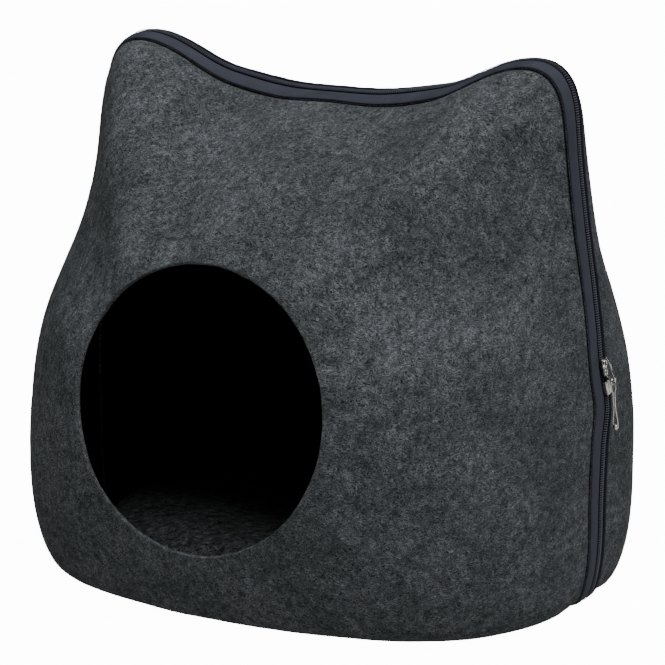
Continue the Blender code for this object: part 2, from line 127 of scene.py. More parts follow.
# The slider's plates and the post between them: size out of, across and along the seam, and how far out the middle is.
PLATE = (0.0016, 0.0088, 0.0150)
PLATE_OUT = 0.0035
INNER_PLATE = (0.0013, 0.0084, 0.0120)
INNER_OUT = -0.0048
POST = (0.0090, 0.0022, 0.0052)
POST_OUT = -0.0008
RING_CENTRE = (0.0101, 0.0, -0.01245)
RING_FACING = (0.95, -0.30, -0.03)
RING_RADIUS = 0.0025
RING_WIRE = 0.00045
PULL_DROP = 0.0010  # from the ring's middle to the top of the pull's eye
PULL_WIRE = 0.0005
PULL_LEAN = (0.03, 0.11)  # how far out and to the back the pull leans, for each metre down
KNOB_RADIUS = 0.0023
# The pull, downwards from the top of its eye: drop and half its width, both at the wire's middle.
PULL = (
    (0.0, 0.0),
    (0.0005, 0.0011),
    (0.0018, 0.0017),
    (0.0054, 0.0017),
    (0.0072, 0.0012),
    (0.0086, 0.0008),
    (0.0110, 0.0008),
    (0.0240, 0.0008),
    (0.0270, 0.0012),
    (0.0320, 0.0019),
    (0.0355, 0.0020),
    (0.0375, 0.0012),
    (0.0382, 0.0),
)

CUSHION_HALF = 0.205
CUSHION_FRONT = 0.178
CUSHION_BACK = 0.150
CUSHION_SQUARE = 2.4
CUSHION_CLIMB = 0.016
# The cushion from its flat underside to its middle: share of its outline, and height.
CUSHION_RISE = (
    (0.90, 0.0068),
    (0.97, 0.016),
    (1.00, 0.028),
    (0.96, 0.041),
    (0.86, 0.050),
    (0.62, 0.054),
    (0.30, 0.051),
)

STEP = 0.001  # of the finite differences that give a direction

# The seam's outline: angle up from +X, in degrees, and reach from the axis point, in metres. All but the first two
# rows are a fitting program's output, rounded to half a millimetre.
SEAM = (
    (-90, 0.1785),
    (-60, 0.2305),
    (-42, 0.2800),
    (-28, 0.2775),
    (-14, 0.2575),
    (0, 0.2510),
    (14, 0.2545),
    (28, 0.2705),
    (40, 0.2985),
    (48, 0.3325),
    (53, 0.3585),
    (57, 0.3630),
    (60, 0.3535),
    (63, 0.3365),
    (67, 0.3110),
    (72, 0.2925),
    (80, 0.2750),
    (90, 0.2690),
)

# How full each shell is along the line from its crown to the seam at an angle: the larger the crown's number, the
# flatter the shell round its crown, and the larger the edge's number, the squarer it meets the seam's plane.
ROUND = 2.0  # the crown's number at the crown itself, whatever the angle
# Near the crown a shell's level lines are round, and towards the seam they take its outline.
ROUND_REACH = 0.2475
ROUND_RISE = 0.030
ROUND_POWER = 4
# Most of these numbers are a fitting program's output.
FULLNESS = (
    # angle, front crown, front edge, back crown, back edge
    (-90, 3.40, 3.00, 3.29, 3.00),
    (-50, 3.40, 3.00, 3.14, 2.99),
    (-20, 3.09, 2.81, 2.90, 2.89),
    (5, 2.41, 2.28, 2.40, 2.31),
    (20, 1.96, 2.16, 2.21, 1.95),
    (34, 1.68, 1.69, 2.13, 1.64),
    (47, 1.50, 1.60, 2.15, 1.64),
    (59, 1.65, 1.58, 2.12, 1.45),
    (72, 1.75, 1.14, 2.07, 1.26),
    (90, 1.90, 1.30, 2.04, 1.56),
)

# How much each shell leans inwards where it leaves the seam, from its own curve: at the saddle between the ears the
# felt and the zip slope down to the front, and beside the ears the front starts out squarer.
# These numbers are a fitting program's output.
LEANING = (
    # angle, front, back
    (-50, 0.00, 0.00),
    (-20, 0.00, 0.00),
    (5, 0.08, 0.00),
    (20, -0.09, 0.00),
    (34, -0.23, -0.03),
    (47, -0.50, -0.14),
    (59, 0.05, -0.27),
    (72, 0.54, -0.22),
    (90, 0.46, -0.16),
)
LEAN_FADE = 0.025

WALK_STEPS = 16
SHARE_STEPS = 400
FINE_STEPS = 40
BEND_WEIGHT = 0.060  # metres of seam that a turn of one radian counts as, when the stations are spread

Shell = namedtuple("Shell", "side depth crown edge lean")


def even_curve(angles, values):
    """A smooth curve through values at angles, level at both ends, which mirrors about the vertical."""
    knots = np.radians(angles)
    values = np.array(values)
    span = np.diff(knots)
    rise = np.diff(values) / span
    last = len(knots) - 1
    matrix = np.eye(last + 1)
    right = np.zeros(last + 1)
    for i in range(1, last):
        matrix[i, i - 1 : i + 2] = span[i], 2 * (span[i - 1] + span[i]), span[i - 1]
        right[i] = 3 * (span[i] * rise[i - 1] + span[i - 1] * rise[i])
    slope = np.linalg.solve(matrix, right)

    def curve(angle):
        upright = np.arcsin(np.sin(angle))
        i = np.clip(np.searchsorted(knots, upright) - 1, 0, last - 1)
        t = (upright - knots[i]) / span[i]
        ends = values[i] * (1 + 2 * t) * (1 - t) ** 2 + values[i + 1] * t * t * (3 - 2 * t)
        turns = slope[i] * t * (1 - t) ** 2 + slope[i + 1] * t * t * (t - 1)
        return ends + span[i] * turns

    return curve


def columns(table):
    return [list(column) for column in zip(*table)]


reach = even_curve(*columns(SEAM))
ANGLES, *FULL = columns(FULLNESS)
LEAN_ANGLES, *LEAN = columns(LEANING)
FRONT = Shell(
    -1,
    FRONT_DEPTH,
    even_curve(ANGLES, FULL[0]),
    even_curve(ANGLES, FULL[1]),
    even_curve(LEAN_ANGLES, LEAN[0]),
)
BACK = Shell(
    1,
    BACK_DEPTH,
    even_curve(ANGLES, FULL[2]),
    even_curve(ANGLES, FULL[3]),
    even_curve(LEAN_ANGLES, LEAN[1]),
)


def smooth(value, low, high):
    t = np.clip((value - low) / (high - low), 0, 1)
    return t * t * (3 - 2 * t)


def settled(x, y, z):
    """Presses the base flat on the floor, lifts the felt over the seam there, and bulges the zip below the slider."""
    z = np.maximum((z + np.sqrt(z * z + FLOOR_SOFT**2)) / 2 - FLOOR_SINK, 0)
    near = 1 - smooth(np.abs(y), LIFT_NEAR, LIFT_FAR)
    z = z + SEAM_LIFT * near * np.exp(-((z / LIFT_HEIGHT) ** 2))
    bulge = np.exp(-(((z - BULGE_Z) / BULGE_SPAN) ** 2) - (y / BULGE_FADE) ** 2)
    bulge = bulge * smooth(x, 0.1, 0.2)
    x = x + BULGE_OUT * bulge
    y = y + BULGE_BACK * bulge
    return np.stack(np.broadcast_arrays(x, y, z), -1)


def share_at(shell, angle, turn):
    """How much of the line from the crown to the seam a turn has covered."""
    fullness = ROUND + (shell.crown(angle) - ROUND) * np.sin(turn) ** 2
    return np.sin(turn) ** (2 / fullness)


def skin(shell, angle, turn):
    """Outer face of a shell, on the line from its crown, turn 0, to the seam at an angle, turn a quarter circle."""
    share = share_at(shell, angle, turn)
    even = ROUND_REACH + ROUND_RISE * np.sin(angle)
    far = even + (reach(angle) - even) * np.sin(turn) ** ROUND_POWER
    depth = shell.depth * np.maximum(np.cos(turn), 0) ** (2 / shell.edge(angle))
    lean = shell.lean(angle) * depth * np.exp(-depth / LEAN_FADE)
    x = (share * far - lean) * np.cos(angle)
    z = CROWN_Z + share * (AXIS_Z - CROWN_Z + far * np.sin(angle)) - lean * np.sin(angle)
    return settled(x, shell.side * depth, z)


def turn_at_depth(shell, angle, depth):
    """Where the skin is this far from the seam's plane."""
    return np.arccos((depth / shell.depth) ** (shell.edge(angle) / 2))


def turn_at_walk(shell, angles, walk):
    """Where the skin is this far from its edge, measured over the skin."""
    depths = np.linspace(EDGE, EDGE + walk, WALK_STEPS)
    turns = np.array([turn_at_depth(shell, angles, depth) for depth in depths])
    points = np.array([skin(shell, angles, turn) for turn in turns])
    steps = np.linalg.norm(np.diff(points, axis=0), axis=-1)
    walked = np.concatenate([np.zeros((1, len(angles))), np.cumsum(steps, axis=0)])
    return np.array([np.interp(walk, walked[:, j], turns[:, j]) for j in range(len(angles))])


def turn_at_share(shell, angles, share):
    turns = np.linspace(0, math.pi / 2, SHARE_STEPS)
    shares = share_at(shell, angles, turns[:, None])
    wanted = np.broadcast_to(share, angles.shape)
    return np.array([np.interp(wanted[j], shares[:, j], turns) for j in range(len(angles))])


def outward(shell, angle, turn):
    """Unit normal of the skin, out of the cave."""
    along = skin(shell, angle + STEP, turn) - skin(shell, angle - STEP, turn)
    down = skin(shell, angle, turn + STEP) - skin(shell, angle, turn - STEP)
    normal = np.cross(along, down) * shell.side
    return normal / np.linalg.norm(normal, axis=-1, keepdims=True)


def raised(shell, angle, turn, height):
    """A point over the skin, or under it where height is negative, on its shell's side of the seam."""
    point = skin(shell, angle, turn) + height * outward(shell, angle, turn)
    seam_y = skin(shell, angle, turn_at_depth(shell, angle, EDGE))[..., 1]
    if shell.side < 0:
        point[..., 1] = np.minimum(point[..., 1], seam_y)
    else:
        point[..., 1] = np.maximum(point[..., 1], seam_y)
    return point


def seam_stations(count):
    """Angles round the seam, closer together where it bends."""
    fine = np.linspace(-math.pi / 2, 1.5 * math.pi, FINE_STEPS * count + 1)
    x, z = reach(fine) * np.cos(fine), reach(fine) * np.sin(fine)
    step = np.hypot(np.diff(x), np.diff(z))
    heading = np.unwrap(np.arctan2(np.diff(z), np.diff(x)))
    bend = np.abs(np.diff(heading, append=heading[0] + 2 * math.pi))
    walked = np.concatenate([[0], np.cumsum(step + BEND_WEIGHT * bend)])
    return np.interp(np.arange(count) / count * walked[-1], walked, fine)


def entry_turn(shell, angle):
    """Where the line from the crown to the seam leaves the round entry."""
    turns = np.linspace(0, math.pi / 2, SHARE_STEPS)
    points = skin(shell, angle, turns[:, None])
    away = np.hypot(points[..., 0], points[..., 2] - ENTRY_Z)
    away = np.maximum.accumulate(away, axis=0)
    radius = ENTRY_RADIUS + np.interp(np.degrees(angle), *columns(ENTRY_CUT), period=360)
    return np.array([np.interp(radius[j], away[:, j], turns) for j in range(len(angle))])


def grid_faces(rows, count, closed_rows):
    """Quads between rings of count points each, from ring to ring, and from the last to the first where closed."""
    faces = []
    for i in range(rows if closed_rows else rows - 1):
        here, there = i * count, (i + 1) % rows * count
        for j in range(count):
            after = (j + 1) % count
            faces.append((here + j, here + after, there + after, there + j))
    return faces


def seam_frame(angle):
    """The seam's middle between the two felt edges, and the directions out of the cave and to the back there."""
    edges = [
        skin(shell, angle, turn_at_depth(shell, angle, EDGE)) for shell in (FRONT, BACK)
    ]
    middle = (edges[0] + edges[1]) / 2
    ahead = [
        skin(shell, angle + STEP, turn_at_depth(shell, angle + STEP, EDGE))
        for shell in (FRONT, BACK)
    ]
    along = (ahead[0] + ahead[1]) / 2 - middle
    across = edges[1] - edges[0]
    out = np.cross(across, along)
    across = np.cross(along, out)
    out = out / np.linalg.norm(out, axis=-1, keepdims=True)
    return middle, out, across / np.linalg.norm(across, axis=-1, keepdims=True)


def seam_angle(height):
    """Angle of the seam's station at this height on the +X side."""
    fine = np.linspace(-0.3, 0.9, 3 * SHARE_STEPS)
    return float(np.interp(height, seam_frame(fine)[0][:, 2], fine))


def seam_matrix(angle):
    """Axes at the seam's middle: X out of the cave, Y to the back, Z up along the seam."""
    middle, out, back = (Vector(part) for part in seam_frame(angle))
    turned = Matrix((out, back, out.cross(back))).transposed()
    return Matrix.Translation(middle) @ turned.to_4x4()


# Finer than the CAD, for the looks.
FELT_STATIONS = 380
FRONT_RINGS = 44
BACK_RINGS_FINE = 50
BACK_START = 0.03  # share of the way to the seam where the back's first ring lies
INNER_EVERY = 3  # the inner face has every third ring of the outer one
RIM_ROUND = 0.0009  # rounding of the felt's cut edge

GROOVE_WALK = 0.0156  # from the felt's edge to the stitched groove beside the front tape
GROOVE_HALF = 0.0012
GROOVE_DEPTH = 0.0019
# Rings lie close together near the seam: their distances over the felt from its edge.
CLOSE_WALKS = (
    0.034, 0.029, 0.025, 0.022, 0.0202, 0.0188, 0.0176, 0.0167, 0.0158, 0.0149, 0.0141, 0.0125, 0.006, 0.0,
)

LUMP_SIZE = 0.055  # the felt's slow unevenness
LUMP_HEIGHT = 0.0007
CALM_RINGS = 9  # over which the unevenness dies out towards the seam
CALM_FROM = 0.9
PUCKER_SIZE = 0.012
PUCKER_HEIGHT = 0.00018

TAPE_STATIONS = 620
TAPE_RIPPLE = 0.00022

STITCH_PITCH = 0.0032
STITCH_LENGTH = 0.0025
STITCH_RADIUS = 0.00042

COIL_PITCH = 0.0020
COIL_REACH = 0.0029  # from the seam to where a turn of the coil dives into its tape
COIL_RADIUS = 0.00038
COIL_TOP = 0.0024  # off the felt's outer face
TAPE_TOP = 0.0008
TAPE_THICK = 0.0007
TAPE_HALF = 0.0036
MOUTH_HALF = 0.0026  # half the gap between the zip tapes where the slider has opened them

CUSHION_STATIONS = 176
CUSHION_TOP_RINGS = 52
PILE_HEIGHT = 0.0016
TUFT_SIZE = 0.011
SWELL_SIZE = 0.05  # the cushion's slow unevenness
SWELL_HEIGHT = 0.0028

# The camera, fitted to the outline of the cave in the photograph.
VIEW_AZIMUTH = math.radians(29.54)
VIEW_ELEVATION = math.radians(13.24)
VIEW_DISTANCE = 2.5374
AIM = Vector((-0.0069, 0.0073, 0.2065))
LENS_MM = 159.55
SENSOR_MM = 36.0

SKY_LOW = 0.24  # the studio's brightness at the floor and overhead
SKY_HIGH = 2.4
SUN_STRENGTH = 6.2
SUN_SPREAD = 55
SUN_FROM = (0.42, -0.20, 1.25)
FLOOR_GLOW = 13.0  # of the backdrop where the camera sees it, and what it adds to the light from below
FLOOR_FILL = 0.46


# Materials -----------------------------------------------------------------------------------------------------


def put(tree, kind, inputs=None, **settings):
    """Adds a node, sets its settings, and joins or sets its inputs by name or number."""
    made = tree.nodes.new(kind)
    for name, value in settings.items():
        setattr(made, name, value)
    for name, value in (inputs or {}).items():
        if isinstance(value, bpy.types.NodeSocket):
            tree.links.new(value, made.inputs[name])
        else:
            made.inputs[name].default_value = value
    return made


def calc(tree, operation, *values):
    return put(tree, "ShaderNodeMath", dict(enumerate(values)), operation=operation).outputs[0]


def blend(tree, share, first, second, how="MIX"):
    made = put(tree, "ShaderNodeMix", data_type="RGBA", blend_type=how)
    for index, value in ((0, share), (6, first), (7, second)):
        if isinstance(value, bpy.types.NodeSocket):
            tree.links.new(value, made.inputs[index])
        else:
            made.inputs[index].default_value = value
    return made.outputs[2]


def band(tree, value, low, high, to_low=0.0, to_high=1.0):
    """Takes low..high to to_low..to_high, softly at both ends."""
    wanted = {"Value": value, "From Min": low, "From Max": high, "To Min": to_low, "To Max": to_high}
    return put(tree, "ShaderNodeMapRange", wanted, interpolation_type="SMOOTHSTEP").outputs[0]


def grains(tree, place, scale, detail=2.0, rough=0.5, flat=True):
    """Noise with features about 1/scale across."""
    wanted = {"Vector": place, "Scale": scale, "Detail": detail, "Roughness": rough}
    return put(tree, "ShaderNodeTexNoise", wanted, noise_dimensions="2D" if flat else "3D")


def new_group(name, inputs, outputs):
    tree = bpy.data.node_groups.new(name, "ShaderNodeTree")
    for label, kind, value in inputs:
        socket = tree.interface.new_socket(label, in_out="INPUT", socket_type="NodeSocket" + kind)
        if value is not None:
            socket.default_value = value
    for label, kind in outputs:
        tree.interface.new_socket(label, in_out="OUTPUT", socket_type="NodeSocket" + kind)
    return tree, tree.nodes.new("NodeGroupInput").outputs, tree.nodes.new("NodeGroupOutput").inputs


# Directions of the strokes of fibre: angle, where their noise starts to show, and how strong they are.
FIBRE_TURNS = ((0.0, 0.51, 1.0), (0.55, 0.53, 0.9), (-0.6, 0.53, 0.9), (1.1, 0.55, 0.8), (-1.2, 0.55, 0.8))


def fibre_group():
    """Loose fibres matted into cloth: fine light strokes in several directions, over mottled ground."""
    tree, given, wanted = new_group(
        "pressed_fibres",
        [
            ("Vector", "Vector", None),
            ("Ground", "Color", (0.05, 0.05, 0.05, 1)),
            ("Fibre", "Color", (0.2, 0.2, 0.2, 1)),
            ("Tint", "Color", (0.07, 0.06, 0.07, 1)),
            ("Amount", "Float", 0.7),
            ("Length", "Float", 0.0036),
            ("Width", "Float", 0.00055),
        ],
        [("Color", "Color"), ("Height", "Float"), ("Roughness", "Float")],
    )
    place = given["Vector"]
    bent = place
    for scale, reach_of in ((70.0, 0.0075), (330.0, 0.0022)):
        drift = grains(tree, place, scale, 1.0).outputs["Color"]
        drift = put(tree, "ShaderNodeVectorMath", {0: drift, 1: (0.5, 0.5, 0.5)}, operation="SUBTRACT").outputs[0]
        drift = put(tree, "ShaderNodeVectorMath", {0: drift, "Scale": reach_of}, operation="SCALE").outputs[0]
        bent = put(tree, "ShaderNodeVectorMath", {0: bent, 1: drift}, operation="ADD").outputs[0]
    along, across = calc(tree, "DIVIDE", 1.0, given["Length"]), calc(tree, "DIVIDE", 1.0, given["Width"])
    size = put(tree, "ShaderNodeCombineXYZ", {"X": along, "Y": across, "Z": 1.0}).outputs[0]
    strokes = 0.0
    for turn, low, weight in FIBRE_TURNS:
        turned = put(
            tree, "ShaderNodeVectorRotate", {"Vector": bent, "Angle": turn}, rotation_type="Z_AXIS"
        ).outputs[0]
        moved = put(
            tree, "ShaderNodeVectorMath", {0: turned, 1: (turn, 2 * turn, 0)}, operation="ADD"
        ).outputs[0]
        drawn = put(tree, "ShaderNodeVectorMath", {0: moved, 1: size}, operation="MULTIPLY").outputs[0]
        mask = band(tree, grains(tree, drawn, 1.0, 2.0, 0.65).outputs["Fac"], low, low + 0.13, 0.0, weight)
        shifted = put(
            tree, "ShaderNodeVectorMath", {0: place, 1: (3 * turn, turn + 1.0, 0)}, operation="ADD"
        ).outputs[0]
        where = band(tree, grains(tree, shifted, 130.0, 2.0).outputs["Fac"], 0.40, 0.60, 0.34, 1.0)
        strokes = calc(tree, "MAXIMUM", strokes, calc(tree, "MULTIPLY", mask, where))
    patches = grains(tree, bent, 60.0, 3.0, 0.6).outputs["Fac"]
    clouds = grains(tree, place, 14.0, 2.0, 0.55).outputs["Fac"]
    dust = grains(tree, place, 1100.0, 1.0).outputs["Fac"]
    ground = blend(tree, band(tree, clouds, 0.35, 0.65), given["Ground"], given["Tint"])
    dark, light = band(tree, patches, 0.30, 0.70, 0.85, 1.2), band(tree, dust, 0.2, 0.8, 0.4, 1.6)
    shade = calc(tree, "MULTIPLY", dark, light)
    tone = put(tree, "ShaderNodeCombineColor", {"Red": shade, "Green": shade, "Blue": shade}).outputs[0]
    ground = blend(tree, 1.0, ground, tone, "MULTIPLY")
    thick = calc(tree, "MULTIPLY", band(tree, patches, 0.30, 0.70, 0.80, 1.1), band(tree, clouds, 0.35, 0.65, 0.85, 1.12))
    shown = calc(tree, "MULTIPLY", calc(tree, "MULTIPLY", strokes, given["Amount"]), thick)
    tree.links.new(blend(tree, shown, ground, given["Fibre"]), wanted["Color"])
    height = calc(tree, "ADD", calc(tree, "MULTIPLY", strokes, 0.6), calc(tree, "MULTIPLY", dust, 0.4))
    tree.links.new(height, wanted["Height"])
    tree.links.new(band(tree, strokes, 0.0, 1.0, 0.97, 0.8), wanted["Roughness"])
    return tree


def weave_group():
    """Woven tape: raised ribs across it, each crossed by finer threads, with slow change of shade along it."""
    tree, given, wanted = new_group(
        "woven_tape",
        [
            ("Vector", "Vector", None),
            ("Thread", "Color", (0.1, 0.1, 0.1, 1)),
            ("Between", "Color", (0.05, 0.05, 0.05, 1)),
            ("Rib", "Float", 0.0012),
            ("Fine", "Float", 0.0006),
            ("Fade", "Float", 0.3),
        ],
        [("Color", "Color"), ("Height", "Float"), ("Roughness", "Float")],
    )
    apart = put(tree, "ShaderNodeSeparateXYZ", {"Vector": given["Vector"]}).outputs
    full = 2 * math.pi
    turned = calc(tree, "DIVIDE", calc(tree, "MULTIPLY", apart["X"], full), given["Rib"])
    crossed = calc(tree, "DIVIDE", calc(tree, "MULTIPLY", apart["Y"], full), given["Fine"])
    slant = calc(tree, "ADD", turned, calc(tree, "MULTIPLY", crossed, 0.5))
    ribs = calc(tree, "MULTIPLY_ADD", calc(tree, "SINE", slant), 0.5, 0.5)
    threads = calc(tree, "MULTIPLY_ADD", calc(tree, "SINE", crossed), 0.5, 0.5)
    height = calc(tree, "ADD", calc(tree, "MULTIPLY", ribs, 0.65), calc(tree, "MULTIPLY", threads, 0.35))
    slow = grains(tree, given["Vector"], 60.0, 3.0, 0.6).outputs["Fac"]
    fuzz = grains(tree, given["Vector"], 900.0, 2.0, 0.6).outputs["Fac"]
    colour = blend(tree, height, given["Between"], given["Thread"])
    faded = blend(tree, slow, (0.6, 0.6, 0.6, 1), (1.4, 1.4, 1.4, 1))
    colour = blend(tree, given["Fade"], colour, blend(tree, 1.0, colour, faded, "MULTIPLY"))
    colour = blend(tree, 1.0, colour, blend(tree, fuzz, (0.7, 0.7, 0.7, 1), (1.3, 1.3, 1.3, 1)), "MULTIPLY")
    tree.links.new(colour, wanted["Color"])
    tree.links.new(height, wanted["Height"])
    tree.links.new(band(tree, slow, 0.3, 0.7, 0.6, 0.8), wanted["Roughness"])
    return tree


def finish_of(name, roughness, **shader_values):
    """A material with its Principled shader, whose constant values are set on the shader itself."""
    made = bpy.data.materials.new(name)
    made.use_nodes = True
    shader = made.node_tree.nodes["Principled BSDF"]
    shader.inputs["Roughness"].default_value = roughness
    for label, value in shader_values.items():
        shader.inputs[label.replace("_", " ")].default_value = value
    return made, made.node_tree, shader


def bump(tree, shader, height, depth, strength=1.0):
    made = put(tree, "ShaderNodeBump", {"Height": height, "Distance": depth, "Strength": strength})
    tree.links.new(made.outputs[0], shader.inputs["Normal"])


def flat_place(tree):
    """Place on the cloth as it was cut, in metres."""
    return put(tree, "ShaderNodeUVMap", uv_map="flat").outputs[0]


def use_group(tree, group, **inputs):
    made = put(tree, "ShaderNodeGroup", node_tree=group)
    for label, value in inputs.items():
        if isinstance(value, bpy.types.NodeSocket):
            tree.links.new(value, made.inputs[label])
        else:
            made.inputs[label].default_value = value
    return made.outputs


def felt_finish(name, fibres, ground, tint, fibre, amount):
    made, tree, shader = finish_of(name, 0.9, Specular_IOR_Level=0.02)
    out = use_group(
        tree, fibres, Vector=flat_place(tree), Ground=(*ground, 1), Tint=(*tint, 1), Fibre=(*fibre, 1), Amount=amount
    )
    # Painted shade: the stitched groove is darkened towards near black, for the shadow that the tape's edge casts into
    # it.
    groove_dip_and_shade = put(tree, "ShaderNodeAttribute", attribute_name="groove_dip_and_shade").outputs["Fac"]
    colour = blend(tree, band(tree, groove_dip_and_shade, 0.0, 0.6), out["Color"], (0.002, 0.002, 0.003, 1))
    tree.links.new(colour, shader.inputs["Base Color"])
    tree.links.new(out["Roughness"], shader.inputs["Roughness"])
    bump(tree, shader, out["Height"], 0.0006, 0.7)
    return made


def tape_finish(name, weave, thread, between, rib, fine, fade):
    made, tree, shader = finish_of(name, 0.7, Specular_IOR_Level=0.06)
    out = use_group(
        tree, weave, Vector=flat_place(tree), Thread=(*thread, 1), Between=(*between, 1), Rib=rib, Fine=fine, Fade=fade
    )
    tree.links.new(out["Color"], shader.inputs["Base Color"])
    tree.links.new(out["Roughness"], shader.inputs["Roughness"])
    bump(tree, shader, out["Height"], 0.00025, 0.6)
    return made


def thread_finish():
    """Dark sewing thread, its shade changing from stitch to stitch."""
    made, tree, shader = finish_of("thread", 0.65, Specular_IOR_Level=0.3)
    place = put(tree, "ShaderNodeTexCoord").outputs["Object"]
    shade = grains(tree, place, 260.0, 2.0, flat=False).outputs["Fac"]
    colour = blend(tree, shade, (0.002, 0.002, 0.003, 1), (0.008, 0.008, 0.011, 1))
    tree.links.new(colour, shader.inputs["Base Color"])
    bump(tree, shader, grains(tree, place, 3000.0, 1.0, flat=False).outputs["Fac"], 0.0002)
    return made


def coil_finish():
    """Dyed plastic of the zip's coil: smooth, with dust between the turns and slight change along it."""
    made, tree, shader = finish_of("coil_plastic", 0.4, Specular_IOR_Level=0.3)
    place = put(tree, "ShaderNodeTexCoord").outputs["Object"]
    slow = grains(tree, place, 45.0, 3.0, flat=False).outputs["Fac"]
    quick = grains(tree, place, 900.0, 2.0, flat=False).outputs["Fac"]
    colour = blend(tree, slow, (0.036, 0.040, 0.058, 1), (0.060, 0.065, 0.090, 1))
    colour = blend(tree, 1.0, colour, blend(tree, quick, (0.7, 0.7, 0.7, 1), (1.3, 1.3, 1.3, 1)), "MULTIPLY")
    tree.links.new(colour, shader.inputs["Base Color"])
    tree.links.new(band(tree, quick, 0.3, 0.7, 0.32, 0.5), shader.inputs["Roughness"])
    bump(tree, shader, quick, 0.0001, 0.5)
    return made


def nickel_finish(name, bright, dark):
    """Plated metal, dulled by handling, with fine scratches."""
    made, tree, shader = finish_of(name, 0.28, Metallic=1.0)
    place = put(tree, "ShaderNodeTexCoord").outputs["Object"]
    dull = grains(tree, place, 300.0, 3.0, 0.6, flat=False).outputs["Fac"]
    drawn = put(tree, "ShaderNodeMapping", {"Vector": place, "Scale": (600.0, 600.0, 5000.0)}).outputs[0]
    scratch = grains(tree, drawn, 1.0, 2.0, flat=False).outputs["Fac"]
    colour = blend(tree, band(tree, dull, 0.35, 0.7), (*bright, 1), (*dark, 1))
    tree.links.new(colour, shader.inputs["Base Color"])
    worn = calc(tree, "ADD", band(tree, dull, 0.3, 0.7, 0.10, 0.28), calc(tree, "MULTIPLY", scratch, 0.1))
    tree.links.new(worn, shader.inputs["Roughness"])
    bump(tree, shader, scratch, 0.00005, 0.4)
    return made


def plush_finish(fibres):
    """Short dark pile in tufts, with painted shade between the tufts that leaves their tips lighter, as if they caught
    the light.
    """
    made, tree, shader = finish_of("plush_pile", 0.95, Sheen_Weight=0.1, Sheen_Roughness=0.4, Specular_IOR_Level=0.05)
    place = flat_place(tree)
    out = use_group(
        tree,
        fibres,
        Vector=place,
        Ground=(0.0030, 0.0034, 0.0037, 1),
        Tint=(0.0060, 0.0066, 0.0072, 1),
        Fibre=(0.105, 0.118, 0.125, 1),
        Amount=0.8,
        Length=0.0100,
        Width=0.0016,
    )
    tufts = put(
        tree, "ShaderNodeTexVoronoi", {"Vector": place, "Scale": 120.0, "Randomness": 1.0}, voronoi_dimensions="2D"
    ).outputs["Distance"]
    # Painted shade: the colour darkens from each tuft's middle to its edge, so the tips look lit and the hollows
    # between tufts look shaded.
    dark = band(tree, tufts, 0.15, 0.75, 1.0, 0.35)
    shade = put(tree, "ShaderNodeCombineColor", {"Red": dark, "Green": dark, "Blue": dark}).outputs[0]
    tree.links.new(blend(tree, 1.0, out["Color"], shade, "MULTIPLY"), shader.inputs["Base Color"])
    height = calc(tree, "SUBTRACT", calc(tree, "MULTIPLY", out["Height"], 0.5), tufts)
    bump(tree, shader, height, 0.0022, 0.8)
    return made


def floor_finish():
    made, tree, shader = finish_of("studio_floor", 0.85, Specular_IOR_Level=0.1)
    place = put(tree, "ShaderNodeTexCoord").outputs["Object"]
    shade = grains(tree, place, 3.0, 2.0, flat=False).outputs["Fac"]
    colour = blend(tree, shade, (0.30, 0.30, 0.30, 1), (0.32, 0.32, 0.32, 1))
    tree.links.new(colour, shader.inputs["Base Color"])
    shader.inputs["Emission Color"].default_value = (1, 1, 1, 1)
    seen = put(tree, "ShaderNodeLightPath").outputs["Is Camera Ray"]
    glow = calc(tree, "MULTIPLY_ADD", seen, FLOOR_GLOW, FLOOR_FILL)
    tree.links.new(glow, shader.inputs["Emission Strength"])
    return made


# Meshes --------------------------------------------------------------------------------------------------------


def mesh_object(name, points, faces, finishes, flat=None):
    """A smooth mesh in the row's frame, from points measured from the seam's plane."""
    places = np.asarray(points, float) + np.array(START)
    mesh = bpy.data.meshes.new(name)
    mesh.from_pydata(places.tolist(), [], faces)
    for finish in finishes:
        mesh.materials.append(finish)
    if flat is not None:
        corners = np.empty(len(mesh.loops), np.int32)
        mesh.loops.foreach_get("vertex_index", corners)
        layer = mesh.uv_layers.new(name="flat")
        layer.data.foreach_set("uv", np.asarray(flat, float)[corners].ravel())
    made = bpy.data.objects.new(name, mesh)
    bpy.context.collection.objects.link(made)
    turned = bmesh.new()
    turned.from_mesh(mesh)
    bmesh.ops.recalc_face_normals(turned, faces=turned.faces)
    turned.to_mesh(mesh)
    turned.free()
    mesh.polygons.foreach_set("use_smooth", [True] * len(mesh.polygons))
    return made


def belongs(piece, slot, *nodes):
    """Puts a piece on the body, in the place of CAD nodes. Its slot is not used."""
    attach(piece, "root")
    if nodes:
        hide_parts(*nodes)
    return piece


def lumps(u, v):
    """The felt's unevenness at a place of its flat cut, in metres off its even face."""
    slow = noise.noise(Vector((u / LUMP_SIZE, v / LUMP_SIZE, 1.7)))
    quick = noise.noise(Vector((u / PUCKER_SIZE, v / PUCKER_SIZE, 9.1)))
    return LUMP_HEIGHT * slow + PUCKER_HEIGHT * quick


def distance_from_crown(shell, angles, turns):
    """Distance over the felt from the crown to each row of turns."""
    fine = np.linspace(0, math.pi / 2 - 1e-4, 120)
    points = np.array([skin(shell, angles, turn) for turn in fine])
    steps = np.linalg.norm(np.diff(points, axis=0), axis=-1)
    walked = np.concatenate([np.zeros((1, len(angles))), np.cumsum(steps, axis=0)])
    return np.array([[np.interp(row[j], fine, walked[:, j]) for j in range(len(angles))] for row in turns])


def groove_share(walk):
    """1 in the middle of the stitched groove, falling to 0 beside it: how far the groove dips, and how much painted
    shade the felt's finish puts there.
    """
    return math.exp(-(((walk - GROOVE_WALK) / GROOVE_HALF) ** 2))


def rounded_rim(outer, inner, back, away):
    """Rings round the entry's cut edge, from the inner face to the outer face."""
    near = RIM_ROUND * 0.3
    return [
        inner + back * RIM_ROUND,
        inner + (back + away) * near,
        inner + away * RIM_ROUND,
        outer - away * RIM_ROUND,
        outer + (back - away) * near,
        outer + back * RIM_ROUND,
    ]


